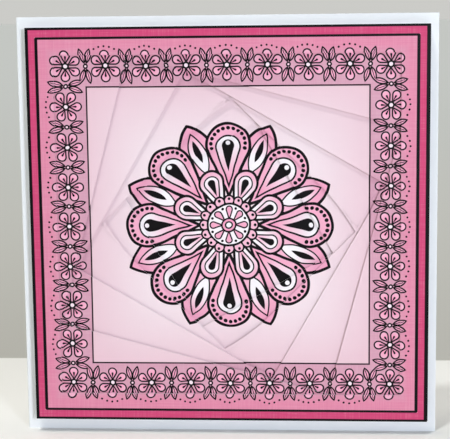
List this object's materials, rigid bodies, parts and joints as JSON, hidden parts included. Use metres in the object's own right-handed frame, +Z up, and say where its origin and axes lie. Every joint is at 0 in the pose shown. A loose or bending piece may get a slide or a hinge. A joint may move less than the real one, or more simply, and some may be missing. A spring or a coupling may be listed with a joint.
{
  "type": "tunnel card",
  "caption": "Standing folded greeting card whose square front carries a stack of printed sheets with turned square windows, set apart by foam tape.",
  "frame": {"origin": "on the ground under the middle of the standing card's bounding box", "axes": "+Z up, the printed front faces -Y, +X to the right as seen from the front"},
  "size_m": [0.2014, 0.1372, 0.203],
  "materials": {
    "card": "smooth matt white card",
    "print": "printed card with a soft sheen, pink linen ground and black line",
    "foam": "white closed-cell foam tape"
  },
  "bodies": {
    "root": {"card_blank": "card", "back_sheet": "print", "frame_sheet_1": "print", "frame_sheet_2": "print", "frame_sheet_3": "print", "frame_sheet_4": "print", "frame_sheet_5": "print", "strip_top_1": "foam", "strip_right_1": "foam", "strip_bottom_1": "foam", "strip_left_1": "foam", "strip_top_2": "foam", "strip_right_2": "foam", "strip_bottom_2": "foam", "strip_left_2": "foam", "strip_top_3": "foam", "strip_right_3": "foam", "strip_bottom_3": "foam", "strip_left_3": "foam", "strip_top_4": "foam", "strip_right_4": "foam", "strip_bottom_4": "foam", "strip_left_4": "foam", "strip_top_5": "foam", "strip_right_5": "foam", "strip_bottom_5": "foam", "strip_left_5": "foam", "pad_top_2": "foam", "pad_right_2": "foam", "pad_bottom_2": "foam", "pad_left_2": "foam", "pad_top_3": "foam", "pad_right_3": "foam", "pad_bottom_3": "foam", "pad_left_3": "foam", "pad_top_4": "foam", "pad_right_4": "foam", "pad_bottom_4": "foam", "pad_left_4": "foam", "pad_top_5": "foam", "pad_right_5": "foam", "pad_bottom_5": "foam", "pad_left_5": "foam"}
  },
  "joints": []
}
